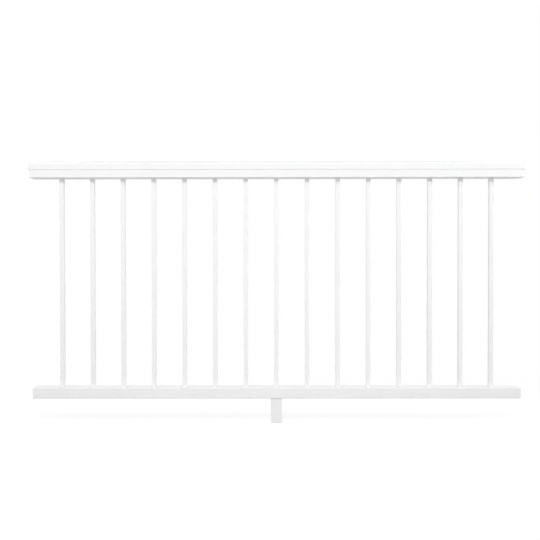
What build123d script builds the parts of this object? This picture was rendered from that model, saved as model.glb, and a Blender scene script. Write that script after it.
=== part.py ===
"""Level railing panel of white aluminium: two rails, a row of square balusters and a support foot.

Frame: +X runs along the rails, +Y through the panel away from the viewer, +Z up.
The origin is the middle of the support foot's underside, where it stands on the deck.
"""

import os

from build123d import *

# Layout of the panel, in millimetres
RAIL_LENGTH = 1828.8
BOTTOM_RAIL_SETBACK = 11.0
CLEAR_HEIGHT = 780.0
DECK_GAP = 91.0

# Balusters: square tubes that drop into punched rails
BALUSTER_SIZE = 15.875
BALUSTER_WALL = 1.25
BALUSTER_RADIUS = 1.2
BALUSTER_PITCH = 114.3
BALUSTER_END_MARGIN = 50.0
BALUSTER_END_PLAY = 0.3
PUNCH_CLEARANCE = 0.25

# Top rail, lower extrusion: a punched box with two snap legs along its top, cut short so that the cap covers it
CHANNEL_SETBACK = 2.0
CHANNEL_WIDTH = 57.15
CHANNEL_HEIGHT = 28.6
CHANNEL_WALL = 2.0
CHANNEL_BOTTOM_RADIUS = 2.0
CHANNEL_SHOULDER_RADIUS = 1.0
SNAP_LEG_WALL = 2.0
SNAP_BARB_REACH = 1.4
SNAP_BARB_HEIGHT = 3.2
SNAP_CLEARANCE = 0.2

# Top rail, upper extrusion: a crowned cap with lips turned in under its sides
CAP_WIDTH = 60.3
CAP_HEIGHT = 31.75
CAP_WALL = 2.2
CAP_CROWN = 1.5
CAP_TOP_RADIUS = 9.0
CAP_EDGE_RADIUS = 2.6
CAP_LIP_REACH = 8.0

# Bottom rail: a punched upper chamber over an open slot with a bead along each lip, which takes the foot
BOTTOM_RAIL_WIDTH = 57.15
BOTTOM_RAIL_HEIGHT = 38.1
BOTTOM_RAIL_WALL = 2.0
BOTTOM_RAIL_TOP_RADIUS = 1.0
BOTTOM_RAIL_EDGE_RADIUS = 3.0
LIP_REACH = 1.6
LIP_HEIGHT = 3.5
SEAT_DEPTH = 16.0
SEAT_WEB = 2.0
CHAMBER_RADIUS = 1.0

# Support foot: a tube on a moulded end plug, held in the slot by two angle clips
FOOT_WIDTH = 41.3
FOOT_WALL = 2.0
FOOT_RADIUS = 2.5
FOOT_SLOT_CLEARANCE = 0.4
PLUG_FLANGE = 3.0
PLUG_FLANGE_CHAMFER = 0.6
PLUG_SPIGOT_HEIGHT = 18.0
PLUG_SPIGOT_RADIUS = 2.0
PLUG_SPIGOT_WALL = 2.2
PLUG_SPIGOT_CHAMFER = 0.8
PLUG_CLEARANCE = 0.2
CLIP_LEG = 16.0
CLIP_WALL = 2.5
CLIP_WIDTH = 30.0
CLIP_BEND_RADIUS = 1.5
CLIP_HOLE_RADIUS = 2.2

# Heights of the stack, from the deck up
bottom_rail_top = DECK_GAP + BOTTOM_RAIL_HEIGHT
seat_top = bottom_rail_top - SEAT_DEPTH
seat_underside = seat_top - SEAT_WEB
channel_bottom = bottom_rail_top + CLEAR_HEIGHT
channel_ceiling = channel_bottom + CHANNEL_HEIGHT - CHANNEL_WALL
cap_bottom = channel_bottom + CHANNEL_HEIGHT
cap_top = cap_bottom + CAP_HEIGHT

# The row of balusters fills the bottom rail, centred on the foot
bottom_rail_length = RAIL_LENGTH - 2 * BOTTOM_RAIL_SETBACK
baluster_count = int((bottom_rail_length - 2 * BALUSTER_END_MARGIN) / BALUSTER_PITCH) + 1
baluster_length = channel_ceiling - BALUSTER_END_PLAY - seat_top
punch_size = BALUSTER_SIZE + 2 * PUNCH_CLEARANCE
punch_radius = BALUSTER_RADIUS + PUNCH_CLEARANCE

bottom_centre = (Align.CENTER, Align.MIN)


def write(piece, name):
    """Label a finished piece and write it as its own file."""
    piece.label = name
    export_step(piece, f"parts/{name}.step")


os.makedirs("parts", exist_ok=True)

# Bottom rail
bottom_rail_bore = BOTTOM_RAIL_WIDTH - 2 * BOTTOM_RAIL_WALL
slot_width = bottom_rail_bore - 2 * LIP_REACH
chamber_height = SEAT_DEPTH - BOTTOM_RAIL_WALL
lip_top = DECK_GAP + LIP_HEIGHT

with BuildPart() as bottom_rail:
    with BuildSketch(Plane.YZ) as profile:
        with Locations((0, DECK_GAP)):
            Rectangle(BOTTOM_RAIL_WIDTH, BOTTOM_RAIL_HEIGHT, align=bottom_centre)
        fillet(profile.vertices().group_by(Axis.Y)[-1], BOTTOM_RAIL_TOP_RADIUS)
        fillet(profile.vertices().group_by(Axis.Y)[0], BOTTOM_RAIL_EDGE_RADIUS)
        with Locations((0, seat_top + chamber_height / 2)):
            RectangleRounded(bottom_rail_bore, chamber_height, CHAMBER_RADIUS, mode=Mode.SUBTRACT)
        with Locations((0, lip_top)):
            Rectangle(bottom_rail_bore, seat_underside - lip_top, align=bottom_centre, mode=Mode.SUBTRACT)
        with Locations((0, DECK_GAP)):
            Rectangle(slot_width, seat_underside - DECK_GAP, align=bottom_centre, mode=Mode.SUBTRACT)
    extrude(amount=bottom_rail_length / 2, both=True)
    with BuildSketch(Plane.XY.offset(bottom_rail_top)):
        with GridLocations(BALUSTER_PITCH, BALUSTER_PITCH, baluster_count, 1):
            RectangleRounded(punch_size, punch_size, punch_radius)
    extrude(amount=-(BOTTOM_RAIL_WALL + chamber_height / 2), mode=Mode.SUBTRACT)
write(bottom_rail.part, "bottom_rail")

# Top rail channel: the balusters enter from below and stop under its ceiling
channel_length = RAIL_LENGTH - 2 * CHANNEL_SETBACK
channel_bore_width = CHANNEL_WIDTH - 2 * CHANNEL_WALL
channel_bore_height = CHANNEL_HEIGHT - 2 * CHANNEL_WALL
cap_lip_edge = CAP_WIDTH / 2 - CAP_WALL - CAP_LIP_REACH
leg_outside = cap_lip_edge - SNAP_CLEARANCE
leg_inside = leg_outside - SNAP_LEG_WALL
barb_underside = cap_bottom + CAP_WALL + SNAP_CLEARANCE
barb_top = barb_underside + SNAP_BARB_HEIGHT

with BuildPart() as top_rail_channel:
    with BuildSketch(Plane.YZ) as profile:
        with Locations((0, channel_bottom)):
            Rectangle(CHANNEL_WIDTH, CHANNEL_HEIGHT, align=bottom_centre)
        fillet(profile.vertices().group_by(Axis.Y)[0], CHANNEL_BOTTOM_RADIUS)
        fillet(profile.vertices().group_by(Axis.Y)[-1], CHANNEL_SHOULDER_RADIUS)
        with Locations((0, channel_bottom + CHANNEL_HEIGHT / 2)):
            RectangleRounded(channel_bore_width, channel_bore_height, CHAMBER_RADIUS, mode=Mode.SUBTRACT)
        with BuildLine():
            Polyline(
                (leg_inside, channel_ceiling + CHANNEL_WALL / 2),
                (leg_outside, channel_ceiling + CHANNEL_WALL / 2),
                (leg_outside, barb_underside),
                (leg_outside + SNAP_BARB_REACH, barb_underside),
                (leg_outside, barb_top),
                (leg_inside, barb_top),
                close=True,
            )
        make_face()
        mirror(about=Plane.YZ)
    extrude(amount=channel_length / 2, both=True)
    with BuildSketch(Plane.XY.offset(channel_bottom)):
        with GridLocations(BALUSTER_PITCH, BALUSTER_PITCH, baluster_count, 1):
            RectangleRounded(punch_size, punch_size, punch_radius)
    extrude(amount=CHANNEL_WALL + channel_bore_height / 2, mode=Mode.SUBTRACT)
write(top_rail_channel.part, "top_rail_channel")

# Top rail cap: its lips lie on the channel and are caught under the barbs
with BuildPart() as top_rail_cap:
    with BuildSketch(Plane.YZ) as profile:
        with BuildLine():
            Line((-CAP_WIDTH / 2, cap_bottom), (CAP_WIDTH / 2, cap_bottom))
            Line((CAP_WIDTH / 2, cap_bottom), (CAP_WIDTH / 2, cap_top - CAP_CROWN))
            ThreePointArc(
                (CAP_WIDTH / 2, cap_top - CAP_CROWN),
                (0, cap_top),
                (-CAP_WIDTH / 2, cap_top - CAP_CROWN),
            )
            Line((-CAP_WIDTH / 2, cap_top - CAP_CROWN), (-CAP_WIDTH / 2, cap_bottom))
        make_face()
        fillet(profile.vertices().group_by(Axis.Y)[-1], CAP_TOP_RADIUS)
        fillet(profile.vertices().group_by(Axis.Y)[0], CAP_EDGE_RADIUS)
        offset(amount=-CAP_WALL, kind=Kind.INTERSECTION, mode=Mode.SUBTRACT)
        with Locations((0, cap_bottom)):
            Rectangle(2 * cap_lip_edge, 2 * CAP_WALL, mode=Mode.SUBTRACT)
    extrude(amount=RAIL_LENGTH / 2, both=True)
write(top_rail_cap.part, "top_rail_cap")

# Balusters: plain tubes standing on the bottom rail's seat web
baluster_bore = BALUSTER_SIZE - 2 * BALUSTER_WALL
first_baluster_x = -BALUSTER_PITCH * (baluster_count - 1) / 2

for index in range(baluster_count):
    baluster_foot = (first_baluster_x + index * BALUSTER_PITCH, 0, seat_top)
    with BuildPart() as baluster:
        with BuildSketch(Plane(baluster_foot)):
            RectangleRounded(BALUSTER_SIZE, BALUSTER_SIZE, BALUSTER_RADIUS)
            Rectangle(baluster_bore, baluster_bore, mode=Mode.SUBTRACT)
        extrude(amount=baluster_length)
    write(baluster.part, f"baluster_{index + 1:02d}")

# Support foot: the tube runs up through the slot to the seat web
foot_depth = slot_width - 2 * FOOT_SLOT_CLEARANCE

with BuildPart() as support_foot:
    with BuildSketch(Plane.XY.offset(PLUG_FLANGE)):
        RectangleRounded(FOOT_WIDTH, foot_depth, FOOT_RADIUS)
        offset(amount=-FOOT_WALL, mode=Mode.SUBTRACT)
    extrude(amount=seat_underside - PLUG_FLANGE)
write(support_foot.part, "support_foot")

# Foot end plug: a flange on the deck and a hollow spigot inside the tube
spigot_inset = FOOT_WALL + PLUG_CLEARANCE
spigot_width = FOOT_WIDTH - 2 * spigot_inset
spigot_depth = foot_depth - 2 * spigot_inset

with BuildPart() as foot_end_plug:
    with BuildSketch():
        RectangleRounded(FOOT_WIDTH, foot_depth, FOOT_RADIUS)
    extrude(amount=PLUG_FLANGE)
    chamfer(foot_end_plug.faces().sort_by(Axis.Z)[0].edges(), PLUG_FLANGE_CHAMFER)
    with BuildSketch(Plane.XY.offset(PLUG_FLANGE)):
        RectangleRounded(spigot_width, spigot_depth, PLUG_SPIGOT_RADIUS)
    extrude(amount=PLUG_SPIGOT_HEIGHT)
    chamfer(foot_end_plug.faces().sort_by(Axis.Z)[-1].edges(), PLUG_SPIGOT_CHAMFER)
    with BuildSketch(Plane.XY.offset(PLUG_FLANGE)):
        Rectangle(spigot_width - 2 * PLUG_SPIGOT_WALL, spigot_depth - 2 * PLUG_SPIGOT_WALL)
    extrude(amount=PLUG_SPIGOT_HEIGHT, mode=Mode.SUBTRACT)
write(foot_end_plug.part, "foot_end_plug")

# Foot clips: one angle on each side, screwed to the seat web and to the tube
for side, name in ((-1, "foot_clip_left"), (1, "foot_clip_right")):
    clip_heel = side * FOOT_WIDTH / 2
    with BuildPart() as foot_clip:
        with BuildSketch(Plane.XZ) as profile:
            with BuildLine():
                Polyline(
                    (clip_heel, seat_underside),
                    (clip_heel, seat_underside - CLIP_LEG),
                    (clip_heel + side * CLIP_WALL, seat_underside - CLIP_LEG),
                    (clip_heel + side * CLIP_WALL, seat_underside - CLIP_WALL),
                    (clip_heel + side * CLIP_LEG, seat_underside - CLIP_WALL),
                    (clip_heel + side * CLIP_LEG, seat_underside),
                    close=True,
                )
            make_face()
        extrude(amount=CLIP_WIDTH / 2, both=True)
        inner_bend = foot_clip.edges().filter_by(Axis.Y).sort_by_distance(
            (clip_heel + side * CLIP_WALL, 0, seat_underside - CLIP_WALL)
        )[0]
        fillet(inner_bend, CLIP_BEND_RADIUS)
        leg_middle = (CLIP_LEG + CLIP_WALL + CLIP_BEND_RADIUS) / 2
        with Locations(Plane((clip_heel + side * leg_middle, 0, seat_underside))):
            Hole(CLIP_HOLE_RADIUS, 2 * CLIP_WALL)
        with Locations(Plane((clip_heel, 0, seat_underside - leg_middle), z_dir=(side, 0, 0))):
            Hole(CLIP_HOLE_RADIUS, 2 * CLIP_WALL)
    write(foot_clip.part, name)
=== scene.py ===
"""Looks of the white railing panel: coated rails and balusters, bare clips, a moulded plug and screws.

Everything is in metres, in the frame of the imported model: +X along the rails, +Y away from the viewer and
+Z up.
"""

import logging
import math
from dataclasses import dataclass
from dataclasses import field
from enum import Enum
from typing import Any
from typing import Union

import bpy
from mathutils import Euler
from mathutils import Matrix
from mathutils import Vector

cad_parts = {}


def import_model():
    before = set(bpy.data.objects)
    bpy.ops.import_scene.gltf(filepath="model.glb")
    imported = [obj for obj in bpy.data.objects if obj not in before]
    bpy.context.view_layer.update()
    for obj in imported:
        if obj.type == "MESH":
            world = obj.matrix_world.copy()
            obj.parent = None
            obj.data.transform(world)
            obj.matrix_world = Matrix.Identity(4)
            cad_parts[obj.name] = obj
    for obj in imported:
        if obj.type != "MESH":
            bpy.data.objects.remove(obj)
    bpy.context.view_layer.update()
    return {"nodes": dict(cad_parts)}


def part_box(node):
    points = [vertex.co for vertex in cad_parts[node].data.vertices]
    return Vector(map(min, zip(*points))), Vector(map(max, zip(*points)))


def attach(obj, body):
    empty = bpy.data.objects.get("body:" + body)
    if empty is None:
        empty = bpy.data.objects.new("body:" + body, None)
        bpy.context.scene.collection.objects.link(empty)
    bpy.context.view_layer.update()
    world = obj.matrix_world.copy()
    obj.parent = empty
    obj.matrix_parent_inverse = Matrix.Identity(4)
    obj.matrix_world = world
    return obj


LOG = logging.getLogger("railing_panel")
MM = 0.001
ROOT_BODY = "root"

# Numbers of the Mix node's colour sockets, which share their names with its other kinds of sockets
MIX_FIRST = 6
MIX_SECOND = 7
MIX_RESULT = 2

Colour = tuple[float, float, float]
Place = tuple[float, float, float]
Span = tuple[float, float]
Nodes = dict[str, bpy.types.Object]


class Facing(Enum):
    """Direction in which a screw's head looks."""

    DOWN = (0.0, 0.0, -1.0)
    LEFT = (-1.0, 0.0, 0.0)
    RIGHT = (1.0, 0.0, 0.0)


class Run(Enum):
    """Axis that an extrusion runs along."""

    ALONG_X = (True, False, False)
    ALONG_Y = (False, True, False)
    ALONG_Z = (False, False, True)


@dataclass(frozen=True)
class Signal:
    """A value socket that takes part in Python expressions."""

    graph: "Graph"
    socket: bpy.types.NodeSocket

    def _math(self, operation: str, first: Any, second: Any) -> "Signal":
        """Add one Math node to the tree.

        Args:
            operation: Name of the Math node's operation.
            first: First operand, a signal or a number.
            second: Second operand, a signal or a number.

        Returns:
            The node's result.
        """
        made = self.graph.node("ShaderNodeMath", {"operation": operation}, {0: first, 1: second})
        return Signal(self.graph, made.outputs[0])

    def __add__(self, other: Any) -> "Signal":
        """Sum with a signal or number."""
        return self._math("ADD", self, other)

    def __radd__(self, other: Any) -> "Signal":
        """Sum with a number on the left."""
        return self._math("ADD", other, self)

    def __sub__(self, other: Any) -> "Signal":
        """Difference with a signal or number."""
        return self._math("SUBTRACT", self, other)

    def __rsub__(self, other: Any) -> "Signal":
        """Difference from a number on the left."""
        return self._math("SUBTRACT", other, self)

    def __mul__(self, other: Any) -> "Signal":
        """Product with a signal or number."""
        return self._math("MULTIPLY", self, other)

    def __rmul__(self, other: Any) -> "Signal":
        """Product with a number on the left."""
        return self._math("MULTIPLY", other, self)

    def __abs__(self) -> "Signal":
        """Size without its sign."""
        return self._math("ABSOLUTE", self, 0.0)

    def at_least(self, other: Any) -> "Signal":
        """The larger of two values."""
        return self._math("MAXIMUM", self, other)

    def below(self, limit: float) -> "Signal":
        """One where the value is under the limit, and zero elsewhere."""
        return self._math("LESS_THAN", self, limit)

    def above(self, limit: float) -> "Signal":
        """One where the value is over the limit, and zero elsewhere."""
        return self._math("GREATER_THAN", self, limit)

    def smooth(self, zero: float, one: float) -> "Signal":
        """Ease from zero to one as the value passes a span.

        Args:
            zero: Value at which the result is zero.
            one: Value at which it is one, which may be the lower of the two.

        Returns:
            The eased level.
        """
        made = self.graph.node(
            "ShaderNodeMapRange",
            {"interpolation_type": "SMOOTHSTEP"},
            {"Value": self, "From Min": zero, "From Max": one},
        )
        return Signal(self.graph, made.outputs["Result"])


class Graph:
    """A node tree under construction."""

    def __init__(self, tree: bpy.types.NodeTree) -> None:
        """Take an empty tree."""
        self.tree = tree

    def node(self, kind: str, settings: dict[str, Any], sockets: dict[Any, Any]) -> bpy.types.Node:
        """Add one node.

        Args:
            kind: Blender's name of the node's type.
            settings: Properties of the node, set before its sockets.
            sockets: Values, links or signals for inputs, by name or number.

        Returns:
            The new node.
        """
        made = self.tree.nodes.new(kind)
        for name, value in settings.items():
            setattr(made, name, value)
        for key, value in sockets.items():
            self.feed(made.inputs[key], value)
        return made

    def feed(self, target: bpy.types.NodeSocket, value: Any) -> None:
        """Set or link one input.

        Args:
            target: The input socket.
            value: A signal, an output socket, a list of output sockets or a plain value.
        """
        if isinstance(value, Signal):
            self.tree.links.new(value.socket, target)
        elif isinstance(value, bpy.types.NodeSocket):
            self.tree.links.new(value, target)
        elif isinstance(value, list):
            for source in value:
                self.tree.links.new(source, target)
        else:
            target.default_value = value


@dataclass(frozen=True)
class Noise:
    """Scale of a smooth noise: its cells in a metre, and its octaves of finer noise."""

    cells: float
    detail: float = 2.0


class ShaderGraph(Graph):
    """The node tree of one material or world."""

    def __init__(self, owner: Union[bpy.types.Material, bpy.types.World]) -> None:
        """Clear the owner's tree and start a new one.

        Args:
            owner: The material or world.
        """
        owner.use_nodes = True
        super().__init__(owner.node_tree)
        self.tree.nodes.clear()

    def place(self) -> tuple[bpy.types.NodeSocket, Signal, Signal, Signal]:
        """Read where a point lies in the frame.

        Returns:
            The point as a vector socket, and its X, Y and Z.
        """
        point = self.node("ShaderNodeTexCoord", {}, {}).outputs["Object"]
        parts = self.node("ShaderNodeSeparateXYZ", {}, {"Vector": point})
        x, y, z = (Signal(self, socket) for socket in parts.outputs)
        return point, x, y, z

    def noise(self, point: bpy.types.NodeSocket, noise: Noise) -> Signal:
        """Smooth noise from zero to one.

        Args:
            point: Where it is read.
            noise: Its scale.

        Returns:
            The noise.
        """
        made = self.node(
            "ShaderNodeTexNoise",
            {},
            {"Vector": point, "Scale": noise.cells, "Detail": noise.detail},
        )
        return Signal(self, made.outputs["Fac"])

    def die_lines(self, point: bpy.types.NodeSocket, run: Run, stretch: float, noise: Noise) -> Signal:
        """Noise drawn out into lines along an extrusion.

        Args:
            point: Where it is read.
            run: Axis that the lines follow.
            stretch: Factor on the coordinate along that axis.
            noise: Scale of the noise across the lines.

        Returns:
            The lines, from zero to one.
        """
        factors = tuple(stretch if way else 1.0 for way in run.value)
        drawn = self.node("ShaderNodeMapping", {}, {"Vector": point, "Scale": factors})
        return self.noise(drawn.outputs["Vector"], noise)

    def mix(self, share: Signal, first: Any, second: Any) -> bpy.types.NodeSocket:
        """Blend two colours.

        Args:
            share: How much of the second colour shows.
            first: Colour at zero, as three numbers or a socket.
            second: Colour at one.

        Returns:
            The blended colour's socket.
        """
        made = self.node("ShaderNodeMix", {"data_type": "RGBA"}, {0: share})
        for number, colour in ((MIX_FIRST, first), (MIX_SECOND, second)):
            self.feed(made.inputs[number], (*colour, 1.0) if isinstance(colour, tuple) else colour)
        return made.outputs[MIX_RESULT]

    def relief(self, height: Signal, depth: float) -> bpy.types.NodeSocket:
        """Turn a height into surface relief.

        Args:
            height: Height from about zero to one.
            depth: Real height of one, in metres.

        Returns:
            The new normal.
        """
        made = self.node("ShaderNodeBump", {}, {"Strength": 1.0, "Distance": depth, "Height": height})
        return made.outputs["Normal"]

    def seen_directly(self) -> Signal:
        """Tell the rays that show a background itself, in the view, in a reflection or through glass.

        Returns:
            One for those rays, and zero for the others.
        """
        path = self.node("ShaderNodeLightPath", {}, {}).outputs
        camera = Signal(self, path["Is Camera Ray"])
        glossy = Signal(self, path["Is Glossy Ray"])
        return camera.at_least(glossy).at_least(Signal(self, path["Is Transmission Ray"]))

    def surface(self, sockets: dict[str, Any]) -> None:
        """End the tree in one principled surface.

        Args:
            sockets: Values and links of the surface's inputs.
        """
        shader = self.node("ShaderNodeBsdfPrincipled", {}, sockets)
        self.node("ShaderNodeOutputMaterial", {}, {"Surface": shader.outputs[0]})


class GeometryGraph(Graph):
    """A Geometry Nodes tree that turns seats, sizes and a finish into one mesh."""

    def __init__(self, name: str, sizes: dict[str, float], finish: bpy.types.Material) -> None:
        """Args:
            name: Name of the tree.
            sizes: Values of its size inputs, by their names.
            finish: Value of its material input.
        """
        super().__init__(bpy.data.node_groups.new(name, "GeometryNodeTree"))
        self.values: dict[str, Any] = {}
        self._declare("Seats", "NodeSocketGeometry")
        for label, size in sizes.items():
            self.values[self._declare(label, "NodeSocketFloat")] = size
        self.values[self._declare("Finish", "NodeSocketMaterial")] = finish
        self.tree.interface.new_socket("Result", in_out="OUTPUT", socket_type="NodeSocketGeometry")
        self.given = self.node("NodeGroupInput", {}, {}).outputs

    def _declare(self, label: str, kind: str) -> str:
        """Add one input, and return its socket's identifier."""
        return self.tree.interface.new_socket(label, in_out="INPUT", socket_type=kind).identifier

    def size(self, label: str) -> Signal:
        """One of the size inputs."""
        return Signal(self, self.given[label])

    def cone(self, sides: int, bottom: Any, top: Any, height: Any) -> bpy.types.NodeSocket:
        """Stand a cut-off cone on the origin.

        Args:
            sides: Corners of its rim.
            bottom: Radius at its foot.
            top: Radius at its top.
            height: Its height.

        Returns:
            The cone.
        """
        made = self.node(
            "GeometryNodeMeshCone",
            {},
            {"Vertices": sides, "Radius Top": top, "Radius Bottom": bottom, "Depth": height},
        )
        return made.outputs["Mesh"]

    def raised(self, shape: bpy.types.NodeSocket, height: Any) -> bpy.types.NodeSocket:
        """Move a shape up.

        Args:
            shape: The shape.
            height: How far.

        Returns:
            The moved shape.
        """
        up = self.node("ShaderNodeCombineXYZ", {}, {"Z": height})
        made = self.node("GeometryNodeTransform", {}, {"Geometry": shape, "Translation": up.outputs[0]})
        return made.outputs["Geometry"]

    def boolean(self, operation: str, sockets: dict[str, Any]) -> bpy.types.NodeSocket:
        """Cut or intersect closed shapes exactly.

        Args:
            operation: Name of the Mesh Boolean node's operation.
            sockets: The shapes, by the node's inputs.

        Returns:
            The shape that is left.
        """
        made = self.node(
            "GeometryNodeMeshBoolean", {"operation": operation, "solver": "EXACT"}, sockets
        )
        return made.outputs["Mesh"]

    def repeat(self, shape: bpy.types.NodeSocket, facing: str) -> None:
        """Set a shape on every seat, make the copies real and end the tree.

        Args:
            shape: The shape, standing on the origin along +Z.
            facing: Name of the seats' attribute that says where the shape's +Z points.
        """
        way = self.node("GeometryNodeInputNamedAttribute", {"data_type": "FLOAT_VECTOR"}, {"Name": facing})
        turn = self.node(
            "FunctionNodeAlignRotationToVector", {"axis": "Z"}, {"Vector": way.outputs["Attribute"]}
        )
        placed = self.node(
            "GeometryNodeInstanceOnPoints",
            {},
            {"Points": self.given["Seats"], "Instance": shape, "Rotation": turn.outputs["Rotation"]},
        )
        real = self.node("GeometryNodeRealizeInstances", {}, {"Geometry": placed.outputs["Instances"]})
        painted = self.node(
            "GeometryNodeSetMaterial",
            {},
            {"Geometry": real.outputs["Geometry"], "Material": self.given["Finish"]},
        )
        self.node("NodeGroupOutput", {}, {"Result": painted.outputs["Geometry"]})


@dataclass(frozen=True)
class Finish:
    """A finish under its own name, painted as its kind says."""

    name: str

    def paint(self, graph: ShaderGraph) -> None:
        """Add the finish's nodes to an empty tree."""
        raise NotImplementedError

    def material(self) -> bpy.types.Material:
        """Make the finish as a material.

        Returns:
            The new material.
        """
        made = bpy.data.materials.new(self.name)
        self.paint(ShaderGraph(made))
        return made


@dataclass(frozen=True)
class Bore:
    """The hollow of an extrusion, where the coat thins out to bare metal some way in from the open ends."""

    half_length: float
    half_width: float
    bottom: float
    top: float
    coated_depth: float = 90.0 * MM
    bare_depth: float = 320.0 * MM
    ragged_depth: float = 50.0 * MM

    def bare(self, x: Signal, y: Signal, z: Signal, drift: Signal) -> Signal:
        """Where the metal inside is bare.

        Args:
            x: Place along the rail.
            y: Place across it.
            z: Height.
            drift: Noise that makes the coat's edge uneven.

        Returns:
            One deep in the hollow, and zero on the outside.
        """
        inside = abs(y).below(self.half_width) * z.above(self.bottom) * z.below(self.top)
        depth = self.half_length - abs(x) + self.ragged_depth * drift
        return inside * depth.smooth(self.coated_depth, self.bare_depth)


@dataclass(frozen=True)
class PowderCoat(Finish):
    """Satin white powder coat with a fine sandy grain and rare nibs, over faint die lines of the metal,
    with painted shade darkening the grain's tiny valleys.
    """

    run: Run
    bore: Union[Bore, None] = None
    white: Colour = (0.886, 0.887, 0.886)
    thin_white: Colour = (0.872, 0.875, 0.878)
    # Grey of the painted shade in the grain's valleys
    painted_valley_shade: Colour = (0.845, 0.847, 0.850)
    metal: Colour = (0.80, 0.81, 0.82)
    cloud: Noise = Noise(9.0, 4.0)
    cloud_span: Span = (0.38, 0.7)
    grain: Noise = Noise(950.0, 2.5)
    painted_shade_span: Span = (0.5, 0.3)
    painted_shade_share: float = 0.5
    lines: Noise = Noise(420.0)
    line_stretch: float = 0.012
    nib_cells: float = 70.0
    nib_share_of_cell: float = 0.05
    roughness: float = 0.36
    cloud_roughness: float = 0.1
    grain_roughness: float = 0.06
    metal_roughness: float = 0.16
    grain_height: float = 0.7
    line_height: float = 0.35
    nib_height: float = 0.6
    relief_depth: float = 0.06 * MM

    def paint(self, graph: ShaderGraph) -> None:
        """Add the coat's nodes.

        Args:
            graph: The material's empty tree.
        """
        point, x, y, z = graph.place()
        cloud = graph.noise(point, self.cloud)
        lines = graph.die_lines(point, self.run, self.line_stretch, self.lines)
        grain = graph.noise(point, self.grain)
        cells = graph.node("ShaderNodeTexVoronoi", {}, {"Vector": point, "Scale": self.nib_cells})
        nib = Signal(graph, cells.outputs["Distance"]).smooth(self.nib_share_of_cell, 0.0)
        colour = graph.mix(cloud.smooth(*self.cloud_span), self.white, self.thin_white)
        # Painted shade: where the grain is low, the colour is darkened towards a grey as if its tiny
        # valleys were in shadow
        colour = graph.mix(grain.smooth(*self.painted_shade_span) * self.painted_shade_share, colour, self.painted_valley_shade)
        roughness = self.roughness + self.cloud_roughness * cloud + self.grain_roughness * grain
        metallic: Any = 0.0
        if self.bore:
            bare = self.bore.bare(x, y, z, cloud)
            colour = graph.mix(bare, colour, self.metal)
            roughness = (1.0 - bare) * roughness + bare * self.metal_roughness
            metallic = bare
        height = self.grain_height * grain + self.line_height * lines + self.nib_height * nib
        graph.surface({
            "Base Color": colour,
            "Roughness": roughness,
            "Metallic": metallic,
            "Normal": graph.relief(height, self.relief_depth),
        })


@dataclass(frozen=True)
class MillAluminium(Finish):
    """Bare aluminium of the clips, with die lines along the way that they were extruded."""

    name: str = "mill_aluminium"
    run: Run = Run.ALONG_Y
    bright: Colour = (0.74, 0.75, 0.76)
    dull: Colour = (0.60, 0.61, 0.62)
    lines: Noise = Noise(2600.0, 3.0)
    line_stretch: float = 0.02
    line_span: Span = (0.35, 0.7)
    line_share: float = 0.5
    oxide: Noise = Noise(160.0, 4.0)
    oxide_span: Span = (0.45, 0.8)
    oxide_share: float = 0.5
    roughness: float = 0.28
    dull_roughness: float = 0.22
    line_depth: float = 0.02 * MM

    def paint(self, graph: ShaderGraph) -> None:
        """Add the metal's nodes.

        Args:
            graph: The material's empty tree.
        """
        point, _, _, _ = graph.place()
        lines = graph.die_lines(point, self.run, self.line_stretch, self.lines)
        oxide = graph.noise(point, self.oxide)
        worn_lines = lines.smooth(*self.line_span) * self.line_share
        dull = worn_lines + oxide.smooth(*self.oxide_span) * self.oxide_share
        graph.surface({
            "Base Color": graph.mix(dull, self.bright, self.dull),
            "Metallic": 1.0,
            "Roughness": self.roughness + self.dull_roughness * dull,
            "Normal": graph.relief(lines, self.line_depth),
        })


@dataclass(frozen=True)
class MouldedNylon(Finish):
    """White nylon with the fine spark texture of its mould, scuffed where it stands."""

    name: str = "white_nylon"
    white: Colour = (0.84, 0.84, 0.825)
    scuffed: Colour = (0.74, 0.735, 0.715)
    spark: Noise = Noise(1700.0)
    spark_share: float = 0.15
    cloud: Noise = Noise(60.0, 3.0)
    scuff_height: float = 2.5 * MM
    scuff_span: Span = (0.4, 0.7)
    scuff_share: float = 0.6
    roughness: float = 0.46
    cloud_roughness: float = 0.12
    spark_depth: float = 0.05 * MM

    def paint(self, graph: ShaderGraph) -> None:
        """Add the nylon's nodes.

        Args:
            graph: The material's empty tree.
        """
        point, _, _, z = graph.place()
        spark = graph.noise(point, self.spark)
        cloud = graph.noise(point, self.cloud)
        scuff = z.smooth(self.scuff_height, 0.0) * cloud.smooth(*self.scuff_span)
        worn = scuff * self.scuff_share + spark * self.spark_share
        graph.surface({
            "Base Color": graph.mix(worn, self.white, self.scuffed),
            "Roughness": self.roughness + self.cloud_roughness * cloud,
            "Normal": graph.relief(spark, self.spark_depth),
        })


@dataclass(frozen=True)
class ZincPlate(Finish):
    """Bright zinc on a steel screw, a little cloudy and finely pitted."""

    name: str = "zinc_plate"
    bright: Colour = (0.72, 0.73, 0.75)
    cloudy: Colour = (0.56, 0.57, 0.58)
    cloud: Noise = Noise(420.0, 3.0)
    cloud_span: Span = (0.35, 0.7)
    pits: Noise = Noise(3000.0)
    roughness: float = 0.24
    cloud_roughness: float = 0.2
    pit_depth: float = 0.01 * MM

    def paint(self, graph: ShaderGraph) -> None:
        """Add the plating's nodes.

        Args:
            graph: The material's empty tree.
        """
        point, _, _, _ = graph.place()
        cloud = graph.noise(point, self.cloud)
        pits = graph.noise(point, self.pits)
        graph.surface({
            "Base Color": graph.mix(cloud.smooth(*self.cloud_span), self.bright, self.cloudy),
            "Metallic": 1.0,
            "Roughness": self.roughness + self.cloud_roughness * cloud,
            "Normal": graph.relief(pits, self.pit_depth),
        })


def dress(node: bpy.types.Object, material: bpy.types.Material) -> None:
    """Give a solid of the frame its finish.

    Args:
        node: The solid's object.
        material: Its finish.
    """
    node.data.materials.clear()
    node.data.materials.append(material)
    LOG.info("%s dressed in %s", node.name, material.name)


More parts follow.
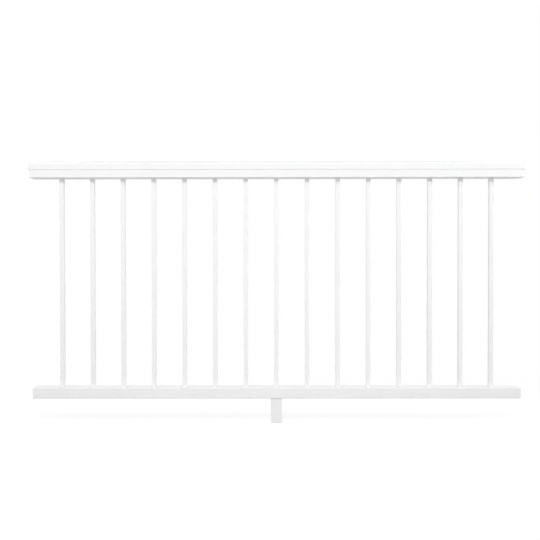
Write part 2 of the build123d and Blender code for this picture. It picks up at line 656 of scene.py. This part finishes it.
@dataclass
class TopRail:
    """The two extrusions of the top rail."""

    nodes: Nodes
    cap_wall: float = 2.2 * MM
    channel_wall: float = 2.0 * MM

    def bore(self, node: str, wall: float) -> Bore:
        """The hollow inside one extrusion, up to the middle of its walls."""
        low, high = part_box(node)
        return Bore(high.x, high.y - wall / 2, low.z + wall / 2, high.z - wall / 2)

    def dress(self) -> None:
        """Coat the cap and the channel."""
        for node, wall in (("top_rail_cap", self.cap_wall), ("top_rail_channel", self.channel_wall)):
            coat = PowderCoat(f"{node}_coat", Run.ALONG_X, self.bore(node, wall))
            dress(self.nodes[node], coat.material())


@dataclass
class BottomRail:
    """The bottom rail, whose upper chamber is hollow and whose slot is open below."""

    nodes: Nodes
    wall: float = 2.0 * MM
    seat_depth: float = 16.0 * MM
    seat_web: float = 2.0 * MM

    def chamber(self) -> Bore:
        """Find the upper chamber, up to the middle of its walls.

        Returns:
            The chamber's hollow.
        """
        _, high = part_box("bottom_rail")
        floor = high.z - self.seat_depth - self.seat_web / 2
        return Bore(high.x, high.y - self.wall / 2, floor, high.z - self.wall / 2)

    def dress(self) -> None:
        """Coat the rail, with its upper chamber bare inside."""
        coat = PowderCoat("bottom_rail_coat", Run.ALONG_X, self.chamber())
        dress(self.nodes["bottom_rail"], coat.material())


@dataclass
class BalusterRow:
    """The row of square balusters."""

    nodes: Nodes
    prefix: str = "baluster_"

    def dress(self) -> None:
        """Coat every baluster alike."""
        coat = PowderCoat("baluster_coat", Run.ALONG_Z).material()
        for name in sorted(self.nodes):
            if name.startswith(self.prefix):
                dress(self.nodes[name], coat)


@dataclass
class ScrewHeads:
    """Hexagon washer-head screws, repeated over a set of seats by a node tree."""

    seats: list[tuple[Vector, Facing]] = field(default_factory=list)
    head_sides: int = 6
    across_flats: float = 6.35 * MM
    head_height: float = 2.1 * MM
    crown_slope_deg: float = 30.0
    washer_radius: float = 4.2 * MM
    washer_rim_radius: float = 3.9 * MM
    washer_thickness: float = 0.8 * MM
    dish_radius: float = 1.7 * MM
    dish_floor_radius: float = 1.4 * MM
    dish_depth: float = 0.4 * MM
    round_sides: int = 28
    sharp_deg: float = 25.0

    def _sizes(self) -> dict[str, float]:
        """Work out the sizes that the node tree takes.

        Returns:
            Each size, by the name of its input.
        """
        flat_radius = self.across_flats / 2
        crown_run = self.head_height / math.tan(math.radians(self.crown_slope_deg))
        return {
            "Corner radius": flat_radius / math.cos(math.pi / self.head_sides),
            "Head height": self.head_height,
            "Crown radius": flat_radius,
            "Skirt radius": flat_radius + crown_run,
            "Washer radius": self.washer_radius,
            "Washer rim radius": self.washer_rim_radius,
            "Washer thickness": self.washer_thickness,
            "Dish radius": self.dish_radius,
            "Dish floor radius": self.dish_floor_radius,
            "Dish depth": self.dish_depth,
        }

    def _head(self, graph: GeometryGraph) -> bpy.types.NodeSocket:
        """Shape the hexagon, with a bevelled crown and a dished top.

        Args:
            graph: The screws' tree.

        Returns:
            The head, standing on the origin.
        """
        height = graph.size("Head height")
        prism = graph.node(
            "GeometryNodeMeshCylinder",
            {},
            {"Vertices": self.head_sides, "Radius": graph.size("Corner radius"), "Depth": height},
        )
        stood = graph.raised(prism.outputs["Mesh"], height * 0.5)
        crown = graph.cone(self.round_sides, graph.size("Skirt radius"), graph.size("Crown radius"), height)
        crowned = graph.boolean("INTERSECT", {"Mesh 2": [stood, crown]})
        # The cutter is twice as tall as the dish is deep, so that it comes out through the head's top
        depth = graph.size("Dish depth")
        floor_radius = graph.size("Dish floor radius")
        cutter_radius = 2.0 * graph.size("Dish radius") - floor_radius
        cutter = graph.cone(self.round_sides, floor_radius, cutter_radius, 2.0 * depth)
        dish = graph.raised(cutter, height - depth)
        return graph.boolean("DIFFERENCE", {"Mesh 1": crowned, "Mesh 2": [dish]})

    def _tree(self, finish: bpy.types.Material) -> GeometryGraph:
        """Build the node tree.

        Args:
            finish: Material of the screws.

        Returns:
            The tree, with the values of its inputs.
        """
        graph = GeometryGraph("screw_heads", self._sizes(), finish)
        thickness = graph.size("Washer thickness")
        head = graph.raised(self._head(graph), thickness)
        washer = graph.cone(
            self.round_sides, graph.size("Washer radius"), graph.size("Washer rim radius"), thickness
        )
        screw = graph.node("GeometryNodeJoinGeometry", {}, {"Geometry": [head, washer]})
        graph.repeat(screw.outputs["Geometry"], "facing")
        return graph

    def _seat_mesh(self, name: str) -> bpy.types.Mesh:
        """Make the seats as points that know which way their screws look.

        Args:
            name: Name of the mesh.

        Returns:
            The mesh of points.
        """
        mesh = bpy.data.meshes.new(name)
        mesh.from_pydata([tuple(place) for place, _ in self.seats], [], [])
        facing = mesh.attributes.new("facing", "FLOAT_VECTOR", "POINT")
        for item, (_, way) in zip(facing.data, self.seats):
            item.vector = way.value
        return mesh

    def build(self, name: str, finish: bpy.types.Material) -> bpy.types.Object:
        """Make the screws as one plain mesh.

        Args:
            name: Name of the piece.
            finish: Material of the screws.

        Returns:
            The piece, riding on the frame.
        """
        piece = bpy.data.objects.new(name, self._seat_mesh(f"{name}_seats"))
        bpy.context.scene.collection.objects.link(piece)
        graph = self._tree(finish)
        repeat = piece.modifiers.new("repeat", "NODES")
        repeat.node_group = graph.tree
        for identifier, value in graph.values.items():
            repeat[identifier] = value
        bpy.context.view_layer.update()
        evaluated = piece.evaluated_get(bpy.context.evaluated_depsgraph_get())
        plain = bpy.data.meshes.new_from_object(evaluated)
        plain.shade_smooth()
        plain.set_sharp_from_angle(angle=math.radians(self.sharp_deg))
        piece.modifiers.remove(repeat)
        piece.data = plain
        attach(piece, ROOT_BODY)
        LOG.info("%s made with %d faces", name, len(plain.polygons))
        return piece


@dataclass
class SupportFoot:
    """The foot under the bottom rail, its plug, and the clips and screws that hold it."""

    nodes: Nodes
    clip_wall: float = 2.5 * MM
    clip_bend: float = 1.5 * MM

    def dress(self) -> None:
        """Coat the tube, and give the plug and the clips their own finishes."""
        dress(self.nodes["support_foot"], PowderCoat("foot_coat", Run.ALONG_Z).material())
        dress(self.nodes["foot_end_plug"], MouldedNylon().material())
        bare = MillAluminium().material()
        for name in ("foot_clip_left", "foot_clip_right"):
            dress(self.nodes[name], bare)

    def screw_seats(self) -> list[tuple[Vector, Facing]]:
        """Find the middle of each clip's two legs.

        Returns:
            Where each screw sits, and which way its head looks.
        """
        seats = []
        for name, side, way in (("foot_clip_left", -1, Facing.LEFT), ("foot_clip_right", 1, Facing.RIGHT)):
            low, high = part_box(name)
            heel = low.x if side > 0 else high.x
            middle = (high.x - low.x + self.clip_wall + self.clip_bend) / 2
            seats.append((Vector((heel + side * middle, 0.0, high.z - self.clip_wall)), Facing.DOWN))
            seats.append((Vector((heel + side * self.clip_wall, 0.0, high.z - middle)), way))
        return seats

    def fasten(self) -> None:
        """Add the screws of the clips."""
        ScrewHeads(self.screw_seats()).build("clip_screws", ZincPlate().material())


@dataclass(frozen=True)
class Softbox:
    """One soft studio lamp, hidden from the camera."""

    name: str
    place: Place
    aim: Place
    width: float
    height: float
    watts: float
    spread_deg: float = 180.0

    def build(self) -> bpy.types.Object:
        """Hang the lamp.

        Returns:
            The lamp's object.
        """
        lamp = bpy.data.lights.new(self.name, "AREA")
        lamp.shape = "RECTANGLE"
        lamp.size = self.width
        lamp.size_y = self.height
        lamp.energy = self.watts
        lamp.spread = math.radians(self.spread_deg)
        made = bpy.data.objects.new(self.name, lamp)
        way = Vector(self.aim) - Vector(self.place)
        turn = way.to_track_quat("-Z", "Y").to_matrix().to_4x4()
        made.matrix_world = Matrix.Translation(self.place) @ turn
        made.visible_camera = False
        bpy.context.scene.collection.objects.link(made)
        LOG.info("%s hung", self.name)
        return made


def grey(level: float) -> tuple[float, float, float, float]:
    """An opaque grey of one level."""
    return (level, level, level, 1.0)


@dataclass(frozen=True)
class StudioPaper(Finish):
    """White paper of the floor.

    Round the panel it shows a faint shadow, further out it is plain white, and it bounces a softer light.
    From below it is see-through.
    """

    name: str = "studio_paper"
    bounce: float = 0.62
    seen_paper: float = 0.24
    seen_glow: float = 0.8
    plain_glow: float = 1.0
    shadow_radius: float = 0.65
    plain_radius: float = 1.3
    squeeze: float = 0.5

    def paint(self, graph: ShaderGraph) -> None:
        """Add the paper's nodes.

        Args:
            graph: The material's empty tree.
        """
        _, x, y, _ = graph.place()
        seen = graph.seen_directly()
        paper = graph.node("ShaderNodeBsdfDiffuse", {}, {"Color": grey(self.bounce)})
        lit = graph.node("ShaderNodeBsdfDiffuse", {}, {"Color": grey(self.seen_paper)})
        glow = graph.node("ShaderNodeEmission", {}, {"Strength": self.seen_glow})
        shaded = graph.node("ShaderNodeAddShader", {}, {0: lit.outputs[0], 1: glow.outputs[0]})
        plain = graph.node("ShaderNodeEmission", {}, {"Strength": self.plain_glow})
        along = x * self.squeeze
        far = (along * along + y * y).smooth(self.shadow_radius**2, self.plain_radius**2)
        shown = self._blend(graph, far, shaded, plain)
        above = self._blend(graph, seen, paper, shown)
        below = Signal(graph, graph.node("ShaderNodeNewGeometry", {}, {}).outputs["Backfacing"])
        clear = graph.node("ShaderNodeBsdfTransparent", {}, {})
        shader = self._blend(graph, below * seen, above, clear)
        graph.node("ShaderNodeOutputMaterial", {}, {"Surface": shader.outputs[0]})

    @staticmethod
    def _blend(
        graph: ShaderGraph, share: Signal, first: bpy.types.Node, second: bpy.types.Node
    ) -> bpy.types.Node:
        """Blend two shaders.

        Args:
            graph: The material's tree.
            share: How much of the second shader shows.
            first: Shader at zero.
            second: Shader at one.

        Returns:
            The blended shader's node.
        """
        return graph.node("ShaderNodeMixShader", {}, {0: share, 1: first.outputs[0], 2: second.outputs[0]})


@dataclass
class Studio:
    """A white floor and backdrop under soft light."""

    floor_half_width: float = 30.0
    floor_drop: float = 0.5 * MM
    backdrop_white: float = 1.0
    sky_level: float = 0.52
    back_level: float = 1.1
    paper: StudioPaper = StudioPaper()
    lamps: tuple[Softbox, ...] = (
        Softbox("front_bar", (0.0, -2.4, 2.7), (0.0, 0.0, 0.85), width=3.0, height=0.35, watts=40.5),
        Softbox("overhead", (0.0, 0.3, 2.6), (0.0, 0.0, 0.5), width=3.2, height=0.8, watts=1.5),
        Softbox("left_softbox", (-2.2, -1.2, 1.9), (0.0, 0.0, 0.85), width=1.0, height=1.0, watts=10.6),
        Softbox(
            "right_rim",
            (2.6, -0.7, 1.5),
            (-0.6, 0.0, 0.85),
            width=0.6,
            height=0.6,
            watts=7.0,
            spread_deg=100.0,
        ),
        Softbox("low_fill", (0.0, -1.7, 0.35), (0.0, 0.0, 0.12), width=1.6, height=0.4, watts=2.7),
    )

    def _floor(self) -> None:
        """Lay the floor just under the panel's foot, so that the two faces don't lie in one plane."""
        half = self.floor_half_width
        level = -self.floor_drop
        corners = [(-half, -half, level), (half, -half, level), (half, half, level), (-half, half, level)]
        mesh = bpy.data.meshes.new("studio_floor")
        mesh.from_pydata(corners, [], [(0, 1, 2, 3)])
        mesh.materials.append(self.paper.material())
        floor = bpy.data.objects.new("studio_floor", mesh)
        bpy.context.scene.collection.objects.link(floor)

    def _sky(self) -> None:
        """Surround the set with white that lights it evenly, and more strongly from straight behind it."""
        world = bpy.data.worlds.new("studio")
        graph = ShaderGraph(world)
        direction = graph.node("ShaderNodeTexCoord", {}, {}).outputs["Generated"]
        parts = graph.node("ShaderNodeSeparateXYZ", {}, {"Vector": direction})
        behind = Signal(graph, parts.outputs["Y"]).at_least(0.0)
        light = self.sky_level + self.back_level * behind * behind * behind * behind
        seen = graph.seen_directly()
        level = seen + (1.0 - seen) * light
        backdrop = graph.node(
            "ShaderNodeBackground", {}, {"Color": grey(self.backdrop_white), "Strength": level}
        )
        graph.node("ShaderNodeOutputWorld", {}, {"Surface": backdrop.outputs[0]})
        bpy.context.scene.world = world

    def build(self) -> None:
        """Set up floor, sky and lamps."""
        self._floor()
        self._sky()
        for lamp in self.lamps:
            lamp.build()


@dataclass(frozen=True)
class PhotoCamera:
    """The camera at the photograph's viewpoint."""

    place: Place = (-0.0181, -2.4949, 0.6002)
    pitch_down_deg: float = 0.763
    yaw_deg: float = 0.134
    roll_deg: float = -0.057
    lens: float = 44.5
    sensor: float = 36.0

    def build(self) -> None:
        """Set up the camera and make it the scene's own."""
        data = bpy.data.cameras.new("photo_camera")
        data.lens = self.lens
        data.sensor_width = self.sensor
        camera = bpy.data.objects.new("photo_camera", data)
        pitch = math.radians(90.0 - self.pitch_down_deg)
        look = Euler((pitch, 0.0, math.radians(self.yaw_deg))).to_matrix()
        tilt = Matrix.Rotation(math.radians(self.roll_deg), 3, "Z")
        camera.matrix_world = Matrix.Translation(self.place) @ (look @ tilt).to_4x4()
        bpy.context.scene.collection.objects.link(camera)
        bpy.context.scene.camera = camera


def main() -> None:
    """Dress the panel and set up the studio around it."""
    logging.basicConfig(level=logging.INFO, format="%(name)s: %(message)s")
    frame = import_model()
    nodes = frame["nodes"]
    TopRail(nodes).dress()
    BottomRail(nodes).dress()
    BalusterRow(nodes).dress()
    foot = SupportFoot(nodes)
    foot.dress()
    foot.fasten()
    Studio().build()
    PhotoCamera().build()
    bpy.context.scene.view_settings.view_transform = "Standard"


if __name__ == "__main__":
    main()
